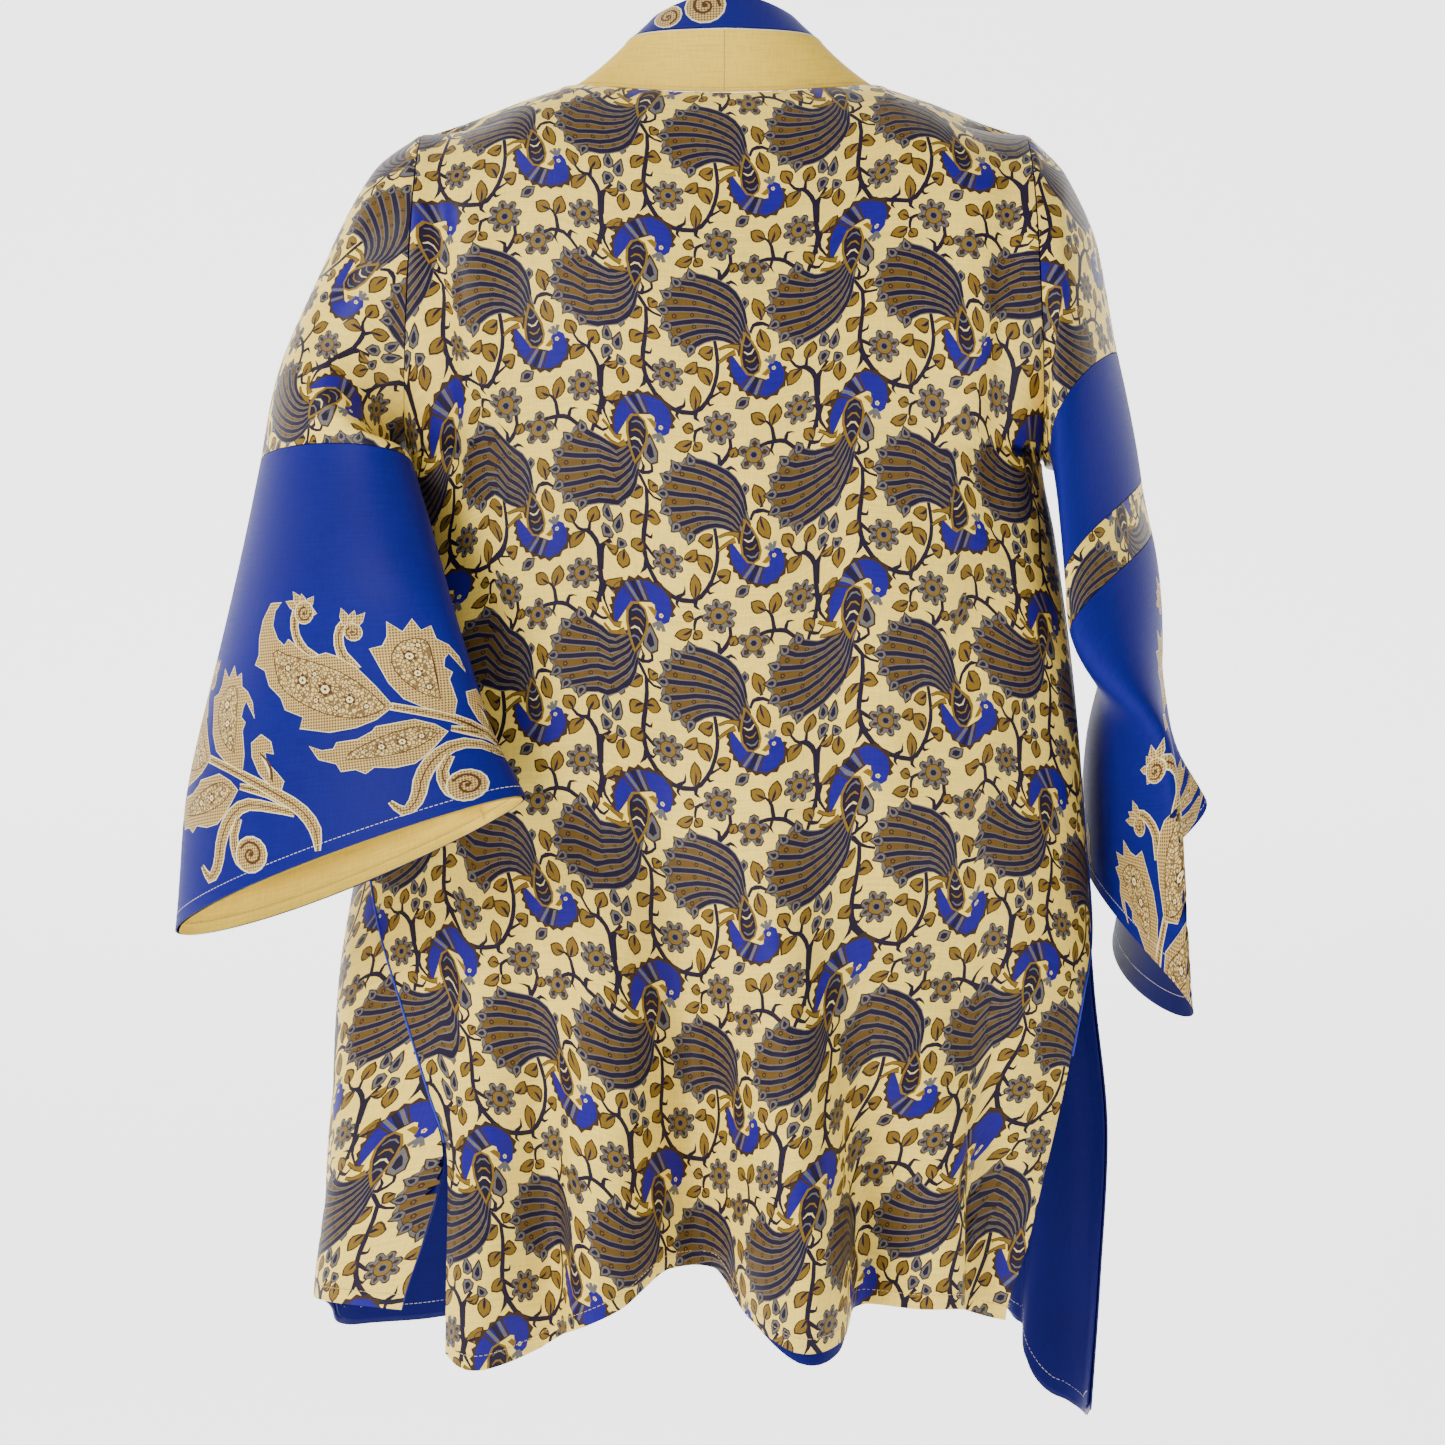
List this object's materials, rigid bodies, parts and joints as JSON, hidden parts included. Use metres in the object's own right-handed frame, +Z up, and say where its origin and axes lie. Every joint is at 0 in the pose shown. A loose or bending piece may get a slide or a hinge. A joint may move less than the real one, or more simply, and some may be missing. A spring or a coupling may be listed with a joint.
{
  "type": "kimono robe",
  "caption": "Open hip-length kimono robe with wide sleeves, side slits and a standing neck band, kept in its worn hollow shape.",
  "frame": {"origin": "middle of the neck, level with the inner ends of the shoulder seams, where the robe rests on its wearer", "axes": "+Z up, +Y the way the wearer faces, +X the wearer's right"},
  "size_m": [0.6939, 0.3184, 0.9506],
  "materials": {
    "printed_cloth": "soft silky weave with a small all-over print",
    "blue_cloth": "silky crepe with gold leaf scrolls",
    "blue_lining": "plain silky crepe",
    "cream_cloth": "plain slubbed silk"
  },
  "bodies": {
    "root": {"back": "printed_cloth", "left_front": "printed_cloth", "right_front": "printed_cloth", "back_lining": "blue_lining", "left_front_lining": "blue_lining", "right_front_lining": "blue_lining", "left_sleeve_top": "printed_cloth", "left_sleeve_cuff": "blue_cloth", "left_cuff_facing": "cream_cloth", "right_sleeve_top": "printed_cloth", "right_sleeve_band": "blue_cloth", "right_sleeve_strip": "printed_cloth", "right_sleeve_cuff": "blue_cloth", "neck_band": "cream_cloth", "neck_top_strip": "blue_cloth"}
  },
  "joints": []
}
